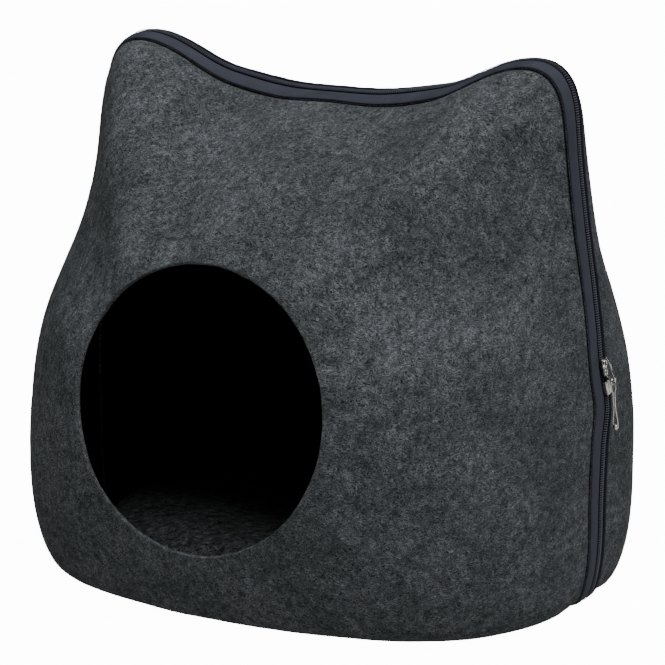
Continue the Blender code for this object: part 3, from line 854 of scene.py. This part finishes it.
def felt_shell(name, shell, stations, first, even_rings, finishes):
    """A moulded felt sheet of even thickness: out over its face to the seam, and back inside."""
    open_entry = shell is FRONT
    start = turn_at_walk(shell, stations, CLOSE_WALKS[0])
    turns = [first + (start - first) * (i / even_rings) for i in range(even_rings)]
    # The groove's share sets both its dip and the painted shade that the felt's finish puts in it.
    groove_dip_and_shade = [0.0] * even_rings
    for walk in CLOSE_WALKS:
        turns.append(turn_at_walk(shell, stations, walk) if walk else turn_at_depth(shell, stations, EDGE))
        groove_dip_and_shade.append(groove_share(walk) if open_entry else 0.0)
    far = distance_from_crown(shell, stations, turns)
    places = np.stack([far * np.cos(stations), far * np.sin(stations)], -1)
    uneven = np.array([[lumps(u, v) for u, v in ring] for ring in places])
    uneven[-CALM_RINGS:] *= np.linspace(CALM_FROM, 0, CALM_RINGS)[:, None]
    aways = [outward(shell, stations, turn) for turn in turns]
    outer = [
        raised(shell, stations, turn, -GROOVE_DEPTH * dip) + away * bump_height[:, None]
        for turn, dip, away, bump_height in zip(turns, groove_dip_and_shade, aways, uneven)
    ]
    picked = [i for i in range(len(turns)) if i % INNER_EVERY == 0 or i == len(turns) - 1][::-1]
    inner = [raised(shell, stations, turns[i], -FELT) + aways[i] * uneven[i][:, None] for i in picked]
    for ring in outer + inner:
        ring[:, 2] = np.maximum(ring[:, 2], 0)
    rings, flats = outer + inner, list(places) + [places[i] for i in picked]
    marks = groove_dip_and_shade + [0.0] * len(picked)
    inner_from, inner_to = len(outer), len(rings) - 1
    if open_entry:
        back = outer[1] - outer[0]
        back /= np.linalg.norm(back, axis=-1, keepdims=True)
        rim = rounded_rim(outer[0], inner[-1], back, aways[0])
        radial = np.stack([np.cos(stations), np.sin(stations)], -1)
        shift = (RIM_ROUND, -FELT, -FELT + RIM_ROUND, -RIM_ROUND, 0.0, RIM_ROUND)
        rings = rings[1:-1] + rim
        flats = flats[1:-1] + [places[0] + radial * s for s in shift]
        marks = marks[1:-1] + [0.0] * len(rim)
        inner_from, inner_to = inner_from - 1, len(rings) - len(rim) + 1
    count = len(stations)
    points, flats, marks = np.concatenate(rings), np.concatenate(flats), np.repeat(marks, count)
    faces = grid_faces(len(rings), count, open_entry)
    if not open_entry:
        crown = skin(shell, stations[:1], np.zeros(1))
        points = np.concatenate([points, crown, crown - [[0, shell.side * FELT, 0]]])
        flats = np.concatenate([flats, [[0, 0], [0, 0]]])
        marks = np.concatenate([marks, [0, 0]])
        last = (len(rings) - 1) * count
        for j in range(count):
            after = (j + 1) % count
            faces.append((len(points) - 2, after, j))
        for j in range(count):
            after = (j + 1) % count
            faces.append((len(points) - 1, last + j, last + after))
    made = mesh_object(name, points, faces, finishes, flats)
    # The groove's share is stored on the points, for the painted shade that the felt's finish puts in the groove.
    layer = made.data.attributes.new("groove_dip_and_shade", "FLOAT", "POINT")
    layer.data.foreach_set("value", marks)
    # The inside faces, and the back's cap inside its crown, take the second finish, the darker copy of the felt that
    # paints the shade inside the cave.
    side = np.zeros(len(faces), np.int32)
    side[inner_from * count : inner_to * count] = 1
    if not open_entry:
        side[-count:] = 1
    made.data.polygons.foreach_set("material_index", side)
    return made


def seam_length(angles):
    """Distance along the seam to each station, and all round at the end."""
    middle = seam_frame(angles)[0]
    steps = np.linalg.norm(np.diff(middle, axis=0, append=middle[:1]), axis=-1)
    return np.concatenate([[0], np.cumsum(steps)])


def edge_tape(name, shell, width, finish):
    """Woven tape folded along a shell's edge, crowned, with a slight ripple along it."""
    angles = seam_stations(TAPE_STATIONS)
    along = seam_length(angles)[:-1]
    section = [
        (0.0, GAP),
        (0.0, BINDING_RIM * 0.6),
        (width * 0.03, BINDING_RIM * 0.85),
        (width * 0.12, BINDING_RIM * 1.1),
        (width * 0.30, BINDING_CROWN * 0.85),
        (width * 0.55, BINDING_CROWN),
        (width * 0.76, BINDING_CROWN * 0.97),
        (width * 0.89, BINDING_CROWN * 0.82),
        (width * 0.97, BINDING_RIM * 1.05),
        (width, BINDING_RIM * 0.6),
        (width, GAP),
        (width * 0.5, GAP),
    ]
    rings, places, crossed, before = [], [], 0.0, section[0]
    for walk, height in section:
        crossed += math.hypot(walk - before[0], height - before[1])
        before = walk, height
        wave = [
            noise.noise(Vector((s / 0.010, walk / 0.006, width * 90)))
            + noise.noise(Vector((s / 0.045, walk / 0.02, width * 40)))
            for s in along
        ]
        lift = TAPE_RIPPLE * np.array(wave) * (height > BINDING_RIM)
        turn = turn_at_walk(shell, angles, walk) if walk else turn_at_depth(shell, angles, EDGE)
        rings.append(raised(shell, angles, turn, height) + outward(shell, angles, turn) * lift[:, None])
        places.append(np.stack([along, np.full(len(angles), crossed)], -1))
    faces = grid_faces(len(rings), len(angles), True)
    return mesh_object(name, np.concatenate(rings), faces, [finish], np.concatenate(places))


def zip_tape(name, side, slider_angle, box_angle, finish):
    """Half of the zip's woven tape, which parts from the other half between the box and the slider."""
    angles = seam_stations(TAPE_STATIONS)
    along = seam_length(angles)[:-1]
    middle, out, back = seam_frame(angles)
    mouth = smooth(angles, box_angle - 0.05, box_angle - 0.03) * (
        1 - smooth(angles, slider_angle + 0.012, slider_angle + 0.05)
    )
    inner = side * (0.00012 + (MOUTH_HALF - 0.00012) * mouth)
    outer = np.full(len(angles), side * TAPE_HALF)
    rings, places = [], []
    for across, height in (
        (inner, TAPE_TOP),
        (outer, TAPE_TOP),
        (outer, TAPE_TOP - TAPE_THICK),
        (inner, TAPE_TOP - TAPE_THICK),
    ):
        rings.append(middle + out * height + back * across[:, None])
        places.append(np.stack([along, across + height], -1))
    faces = grid_faces(4, len(angles), True)
    return mesh_object(name, np.concatenate(rings), faces, [finish], np.concatenate(places))


def even_along(pitch, start, end):
    """Angles a pitch apart along the seam, from start to end."""
    fine = np.linspace(start, end, 6001)
    middle = seam_frame(fine)[0]
    walked = np.concatenate([[0], np.cumsum(np.linalg.norm(np.diff(middle, axis=0), axis=-1))])
    count = int(walked[-1] / pitch)
    return np.interp((np.arange(count) + 0.5) * walked[-1] / count, walked, fine)


# Pieces modelled with operators ----------------------------------------------------------------------------------


def deselect():
    bpy.ops.object.select_all(action="DESELECT")


def named(name, finish):
    """The primitive just added, with its name and finish."""
    made = bpy.context.object
    made.name = made.data.name = name
    made.data.materials.clear()
    made.data.materials.append(finish)
    return made


def edit(made, change):
    """Runs a change on the whole piece in edit mode."""
    deselect()
    made.select_set(True)
    bpy.context.view_layer.objects.active = made
    bpy.ops.object.mode_set(mode="EDIT")
    bpy.ops.mesh.select_all(action="SELECT")
    change()
    bpy.ops.object.mode_set(mode="OBJECT")


def modify(made, kind, **settings):
    modifier = made.modifiers.new(kind.lower(), kind)
    for name, value in settings.items():
        setattr(modifier, name, value)
    deselect()
    made.select_set(True)
    bpy.context.view_layer.objects.active = made
    bpy.ops.object.modifier_apply(modifier=modifier.name)


def settle_in(made, place, angle=40):
    """Moves a piece from its own axes to its place on the cave, which its mesh then holds."""
    made.matrix_world = Matrix.Translation(START) @ place @ made.matrix_world
    deselect()
    made.select_set(True)
    bpy.context.view_layer.objects.active = made
    bpy.ops.object.transform_apply(location=True, rotation=True, scale=True)
    bpy.ops.object.shade_smooth_by_angle(angle=math.radians(angle))
    return made


def merged(name, parts):
    """Joins pieces into the first one."""
    deselect()
    for part in parts:
        part.select_set(True)
    bpy.context.view_layer.objects.active = parts[0]
    bpy.ops.object.join()
    parts[0].name = parts[0].data.name = name
    return parts[0]


def bar(name, size, centre, rounding, finish, segments=3):
    """Bar with rounded edges."""
    deselect()
    bpy.ops.mesh.primitive_cube_add(size=1, location=centre)
    made = named(name, finish)
    made.scale = size
    bpy.ops.object.transform_apply(location=True, rotation=True, scale=True)
    edit(made, lambda: bpy.ops.mesh.bevel(offset=rounding, segments=segments, affect="EDGES"))
    return made


def copied_along(name, shape, frames, finish):
    """Copies of one closed shape, each turned and moved to its own frame."""
    points = np.array([vertex.co for vertex in shape.data.vertices])
    one = [tuple(face.vertices) for face in shape.data.polygons]
    size = len(points)
    places = np.concatenate([points @ turned.T + place for place, turned in frames])
    faces = [tuple(corner + k * size for corner in face) for k in range(len(frames)) for face in one]
    bpy.data.objects.remove(shape)
    return mesh_object(name, places, faces, [finish])


def coil_turn(finish):
    """One turn of the coil: an arch from tape to tape over the seam, X across and Z up."""
    deselect()
    bpy.ops.mesh.primitive_torus_add(
        major_segments=12, minor_segments=6, major_radius=1.0, minor_radius=0.30, rotation=(math.pi / 2, 0, 0)
    )
    made = named("coil_turn", finish)
    bpy.ops.object.transform_apply(location=True, rotation=True, scale=True)
    tall = COIL_TOP - TAPE_TOP
    size = (COIL_REACH / 1.25, COIL_RADIUS / 0.30, tall / 1.30)

    def shape():
        bpy.ops.mesh.bisect(plane_co=(0, 0, -0.15), plane_no=(0, 0, 1), use_fill=True, clear_inner=True)
        bpy.ops.mesh.select_all(action="SELECT")
        bpy.ops.transform.resize(value=size, center_override=(0, 0, 0))
        bpy.ops.transform.translate(value=(0, 0, TAPE_TOP))

    edit(made, shape)
    return made


def coil(chain_top, chain_foot, finish):
    """The closed coil's row of turns, from over the slider all the way round to under the box."""
    angles = even_along(COIL_PITCH, chain_top, chain_foot + 2 * math.pi)
    frames = []
    for place, out, back in zip(*seam_frame(angles)):
        frames.append((place, np.stack([back, np.cross(out, back), out], 1)))
    return copied_along("zip_coil", coil_turn(finish), frames, finish)


def groove_stitches(finish):
    """Lock stitches that lie in the groove beside the front tape."""
    deselect()
    bpy.ops.mesh.primitive_uv_sphere_add(segments=6, ring_count=5, radius=1.0, rotation=(0, math.pi / 2, 0))
    stitch = named("stitch", finish)
    size = STITCH_LENGTH / 2, STITCH_RADIUS, STITCH_RADIUS
    bpy.ops.object.transform_apply(location=True, rotation=True, scale=True)
    edit(stitch, lambda: bpy.ops.transform.resize(value=size, center_override=(0, 0, 0)))
    angles = even_along(STITCH_PITCH, -math.pi / 2, 1.5 * math.pi)
    turn = turn_at_walk(FRONT, angles, GROOVE_WALK)
    place = raised(FRONT, angles, turn, -GROOVE_DEPTH + STITCH_RADIUS * 1.1)
    ahead = np.roll(place, -1, axis=0) - place
    ahead /= np.linalg.norm(ahead, axis=-1, keepdims=True)
    up = outward(FRONT, angles, turn)
    side = np.cross(up, ahead)
    frames = [(p, np.stack([a, s, u], 1)) for p, a, s, u in zip(place, ahead, side, up)]
    return copied_along("groove_stitches", stitch, frames, finish)


def strap(path, half_width, thickness, finish):
    """Flat strap bent along a path of distances out of the seam and heights."""
    deselect()
    bpy.ops.mesh.primitive_grid_add(x_subdivisions=len(path) - 1, y_subdivisions=1, size=1)
    made = named("strap", finish)
    for vertex in made.data.vertices:
        out, along = path[round((vertex.co.x + 0.5) * (len(path) - 1))]
        vertex.co = (out, math.copysign(half_width, vertex.co.y), along)
    modify(made, "SUBSURF", levels=2, render_levels=2)
    modify(made, "SOLIDIFY", thickness=thickness, offset=0)
    modify(made, "BEVEL", width=thickness * 0.25, segments=2, limit_method="ANGLE", angle_limit=1.0)
    return made


def slider(place, finish, worn):
    """Slider: shield-shaped outer plate with raised rims, inner plate, post, stud and the bridge that holds the ring."""
    # The outer plate takes worn, a much darker copy of the nickel: painted shade, for the shade in the slider's
    # recess.
    plate = bar("slider_plate", PLATE, (PLATE_OUT, 0, 0), 0.0005, worn)

    def taper(made, low, share):
        for vertex in made.data.vertices:
            if vertex.co.z < low:
                fall = min((low - vertex.co.z) / (PLATE[2] / 2 + low), 1)
                vertex.co.y *= 1 - (1 - share) * fall

    edit(plate, lambda: bpy.ops.mesh.subdivide(number_cuts=3))
    taper(plate, 0.0045, 0.62)
    wings = bar("slider_wings", (0.0020, 0.0098, 0.0012), (0.0037, 0, 0.0069), 0.0005, finish)
    inner = bar("slider_inner", INNER_PLATE, (INNER_OUT, 0, 0), 0.0004, finish)
    post = bar("slider_post", POST, (POST_OUT, 0, 0), 0.0003, finish)
    bridge = strap(BRIDGE, BRIDGE_HALF, 2 * BRIDGE_HALF_THICK, finish)
    rings = []
    for radius, wire, height, share in ((0.0021, 0.00065, -0.0044, 1.0), (0.0029, 0.00055, 0.0028, 0.85)):
        deselect()
        bpy.ops.mesh.primitive_torus_add(
            major_segments=36,
            minor_segments=10,
            major_radius=radius,
            minor_radius=wire,
            location=(0.0046, 0, height),
            rotation=(0, math.pi / 2, 0),
        )
        rim = named("slider_rim", finish)
        rim.scale.y = share
        bpy.ops.object.transform_apply(location=True, rotation=True, scale=True)
        rings.append(rim)
    deselect()
    bpy.ops.mesh.primitive_uv_sphere_add(segments=20, ring_count=12, radius=0.0015, location=(0.0046, -0.0040, 0.0012))
    stud = named("slider_stud", finish)
    bpy.ops.object.transform_apply(location=True, rotation=True, scale=True)
    return settle_in(merged("slider", [plate, wings, inner, post, bridge, stud, *rings]), place)


def slider_ring(place, finish):
    """Round wire ring that hangs from the slider's bridge."""
    deselect()
    facing = Vector(RING_FACING).normalized()
    bpy.ops.mesh.primitive_torus_add(
        major_segments=40,
        minor_segments=12,
        major_radius=RING_RADIUS,
        minor_radius=RING_WIRE,
        location=RING_CENTRE,
        rotation=facing.to_track_quat("Z", "Y").to_euler(),
    )
    made = named("ring_wire", finish)
    return settle_in(made, place)


def pull(middle, finish):
    """Bent wire that hangs straight down from the ring: an eye, two strands, and a drop closed by a knob."""
    top = middle - Vector((0, 0, PULL_DROP))
    down = Vector((*PULL_LEAN, -1))
    path = PULL + tuple((drop, -half) for drop, half in PULL[-2:0:-1])
    deselect()
    bpy.ops.curve.primitive_bezier_circle_add(radius=1)
    made = bpy.context.object
    spline = made.data.splines[0]
    spline.bezier_points.add(len(path) - len(spline.bezier_points))
    for point, (drop, half) in zip(spline.bezier_points, path):
        point.co = top + down * drop + Vector((half, 0, 0))
        point.handle_left_type = point.handle_right_type = "AUTO"
    made.data.dimensions = "3D"
    made.data.resolution_u = 4
    made.data.bevel_depth = PULL_WIRE
    made.data.bevel_resolution = 2
    made.data.use_fill_caps = False
    bpy.ops.object.convert(target="MESH")
    wire = named("pull_wire", finish)
    deselect()
    bottom = top + down * PULL[-1][0]
    bpy.ops.mesh.primitive_uv_sphere_add(segments=28, ring_count=18, radius=KNOB_RADIUS, location=bottom)
    knob = named("pull_knob", finish)
    bpy.ops.object.transform_apply(location=True, rotation=True, scale=True)
    deselect()
    bpy.ops.mesh.primitive_torus_add(
        major_segments=20,
        minor_segments=8,
        major_radius=0.0012,
        minor_radius=0.0004,
        location=bottom + Vector((0, 0, KNOB_RADIUS * 0.9)),
    )
    collar = named("pull_collar", finish)
    bpy.ops.object.transform_apply(location=True, rotation=True, scale=True)
    return settle_in(merged("pull", [wire, knob, collar]), Matrix())


def retaining_box(place, finish):
    """Box and pin at the chain's start: two rounded ridges over the tapes with a groove between them, on a tongue."""
    parts = [
        bar("box_ridge", (0.0022, 0.0032, 2 * BOX_HALF - 0.0008), (0.0038, side * 0.0022, 0), 0.0007, finish)
        for side in (-1, 1)
    ]
    parts.append(bar("box_floor", (0.0013, 0.0064, 2 * BOX_HALF - 0.0012), (0.0034, 0, 0), 0.0003, finish))
    parts.append(bar("box_tongue", (0.0058, 0.0046, 2 * BOX_HALF - 0.0020), (-0.0001, 0, 0), 0.0004, finish))
    parts.append(bar("box_cap", (0.0020, 0.0072, 0.0018), (0.0037, 0, -BOX_HALF + 0.0013), 0.0006, finish))
    return settle_in(merged("retaining_box", parts), place)


# Cushion ---------------------------------------------------------------------------------------------------------


def cushion_point(x, y, height):
    climb = CUSHION_CLIMB * max(0.0, (x / CUSHION_HALF + y / CUSHION_BACK) / 2) ** 1.5
    if height > CUSHION_RISE[0][1]:
        height *= 1 + climb / CUSHION_RISE[-1][1]
    return Vector((x, y, height))


def cushion(finish):
    """Plush pad, crowned on top and flat underneath, whose pile stands in tufts."""
    shares, heights = columns(CUSHION_RISE)
    shares, heights = [0.0, 0.45] + shares + [0.0], [heights[0]] * 2 + heights + [heights[-1]]
    path = np.array(list(zip(shares, heights))) * [CUSHION_HALF, 1]
    walked = np.concatenate([[0], np.cumsum(np.hypot(*np.diff(path, axis=0).T))])
    total = walked[-1]
    marks = np.linspace(0, 1, CUSHION_TOP_RINGS)[1:-1] * total
    tangents = np.gradient(path, walked, axis=0)

    def at(mark):
        i = min(int(np.searchsorted(walked, mark)), len(walked) - 1)
        a, b = walked[i - 1], walked[i]
        t = (mark - a) / (b - a)
        span = b - a
        one = path[i - 1] * (1 + 2 * t) * (1 - t) ** 2 + path[i] * t * t * (3 - 2 * t)
        two = tangents[i - 1] * t * (1 - t) ** 2 + tangents[i] * t * t * (t - 1)
        return one + span * two * 0.8

    points, places = [], []
    for mark in marks:
        across, height = at(mark)
        share = max(across, 0) / CUSHION_HALF
        for k in range(CUSHION_STATIONS):
            turn = 2 * math.pi * k / CUSHION_STATIONS
            cosine, sine = math.cos(turn), math.sin(turn)
            x = CUSHION_HALF * math.copysign(abs(cosine) ** (2 / CUSHION_SQUARE), cosine)
            deep = CUSHION_BACK if sine > 0 else CUSHION_FRONT
            y = deep * math.copysign(abs(sine) ** (2 / CUSHION_SQUARE), sine)
            point = cushion_point(x * share, y * share, height)
            upper = smooth(height, 0.02, 0.045)
            slow = noise.noise(point / SWELL_SIZE) * SWELL_HEIGHT
            tuft = noise.noise(point / TUFT_SIZE) * PILE_HEIGHT
            point.z += float(upper) * (slow + tuft)
            points.append(point)
            places.append((mark * math.cos(turn), mark * math.sin(turn)))
    count = CUSHION_STATIONS
    faces = grid_faces(len(marks), count, False)
    low, high = len(points), len(points) + 1
    points += [cushion_point(0, 0, CUSHION_RISE[0][1]), cushion_point(0, 0, float(path[-1][1]))]
    places += [(0, 0), (total, 0)]
    top = (len(marks) - 1) * count
    for k in range(count):
        after = (k + 1) % count
        faces.append((low, after, k))
        faces.append((high, top + k, top + after))
    flats = [(point.x, point.y) for point in points]
    return mesh_object("plush_cushion", points, faces, [finish], flats)


# The scene -------------------------------------------------------------------------------------------------------


def camera():
    ahead = Vector(
        (
            -math.sin(VIEW_AZIMUTH) * math.cos(VIEW_ELEVATION),
            math.cos(VIEW_AZIMUTH) * math.cos(VIEW_ELEVATION),
            -math.sin(VIEW_ELEVATION),
        )
    )
    lens = bpy.data.cameras.new("camera")
    lens.lens = LENS_MM
    lens.sensor_width = SENSOR_MM
    lens.clip_end = 20
    made = bpy.data.objects.new("camera", lens)
    bpy.context.collection.objects.link(made)
    made.location = AIM - ahead * VIEW_DISTANCE
    made.rotation_euler = ahead.to_track_quat("-Z", "Y").to_euler()
    bpy.context.scene.camera = made


def sun(name, strength, spread, place):
    """Light from far off, soft because it comes from a wide part of the sky round place."""
    light = bpy.data.lights.new(name, "SUN")
    light.energy = strength
    light.angle = math.radians(spread)
    made = bpy.data.objects.new(name, light)
    bpy.context.collection.objects.link(made)
    made.location = place
    made.rotation_euler = (-Vector(place)).to_track_quat("-Z", "Y").to_euler()


def studio():
    deselect()
    bpy.ops.mesh.primitive_plane_add(size=14, location=(0, 3, 0))
    floor = named("floor", floor_finish())
    bpy.ops.object.transform_apply(location=True, rotation=True, scale=True)
    world = bpy.data.worlds.new("studio")
    world.use_nodes = True
    tree = world.node_tree
    sky = tree.nodes["Background"]
    heading = put(tree, "ShaderNodeTexCoord").outputs["Generated"]
    upward = put(tree, "ShaderNodeSeparateXYZ", {"Vector": heading}).outputs["Z"]
    shade = band(tree, upward, 0.0, 1.0, SKY_LOW, SKY_HIGH)
    tree.links.new(shade, sky.inputs["Strength"])
    bpy.context.scene.world = world
    sun("overhead", SUN_STRENGTH, SUN_SPREAD, SUN_FROM)


def main():
    camera()
    studio()
    fibres, weave = fibre_group(), weave_group()
    felt = felt_finish(
        "felt_outside", fibres, (0.0085, 0.0100, 0.0100), (0.0115, 0.0112, 0.0130), (0.135, 0.148, 0.158), 0.85
    )
    # Painted shade: the inside faces take a much darker copy of the same felt, which stands in for the shade inside
    # the cave.
    felt_shaded_inside = felt_finish(
        "felt_inside_painted_shade", fibres, (0.005, 0.006, 0.006), (0.006, 0.006, 0.007), (0.02, 0.021, 0.022), 0.6
    )
    tape = tape_finish("edge_tape", weave, (0.042, 0.045, 0.059), (0.013, 0.0142, 0.020), 0.0011, 0.0007, 0.9)
    strip = tape_finish("back_tape", weave, (0.006, 0.007, 0.012), (0.003, 0.0035, 0.006), 0.0011, 0.0007, 0.6)
    zip_cloth = tape_finish("zip_tape", weave, (0.0014, 0.0016, 0.0030), (0.0006, 0.0006, 0.0012), 0.0010, 0.0006, 0.3)
    thread, plastic = thread_finish(), coil_finish()
    nickel = nickel_finish("nickel_plate", (0.62, 0.60, 0.56), (0.30, 0.285, 0.26))
    # Painted shade: a much darker copy of the nickel for the slider's outer plate, which stands in for the shade in
    # its recess.
    worn = nickel_finish("nickel_painted_shade", (0.16, 0.15, 0.135), (0.05, 0.047, 0.043))

    stations = seam_stations(FELT_STATIONS)
    entry = entry_turn(FRONT, stations)
    front = belongs(felt_shell("felt_front", FRONT, stations, entry, FRONT_RINGS, (felt, felt_shaded_inside)), "felt", "shell_front")
    crown = turn_at_share(BACK, stations, BACK_START)
    back = belongs(felt_shell("felt_back", BACK, stations, crown, BACK_RINGS_FINE, (felt, felt_shaded_inside)), "felt", "shell_back")
    tape_front = belongs(edge_tape("tape_front", FRONT, BINDING_WIDTH, tape), "binding_tape", "binding_front")
    tape_back = belongs(edge_tape("tape_back", BACK, STRIP_WIDTH, strip), "binding_tape", "binding_back")
    stitches = belongs(groove_stitches(thread), "binding_tape")

    slider_angle, box_angle = seam_angle(SLIDER_Z), seam_angle(BOX_Z)
    chain_top = seam_angle(SLIDER_Z + POST_CLEAR)
    chain_foot = seam_angle(BOX_Z - BOX_HALF - BOX_CLEAR)
    turns = belongs(coil(chain_top, chain_foot, plastic), "zip_coil", "zip_chain")
    halves = [
        belongs(zip_tape(name, side, slider_angle, box_angle, zip_cloth), "zip_coil", "zip_chain")
        for name, side in (("zip_tape_front", -1), ("zip_tape_back", 1))
    ]
    at_slider = seam_matrix(slider_angle)
    belongs(slider(at_slider, nickel, worn), "nickel", "slider_body")
    belongs(slider_ring(at_slider, nickel), "nickel", "slider_ring")
    belongs(pull(at_slider @ Vector(RING_CENTRE), nickel), "nickel", "slider_pull")
    belongs(retaining_box(seam_matrix(box_angle), nickel), "nickel", "zip_box")
    pad = belongs(cushion(plush_finish(fibres)), "plush", "cushion")


main()
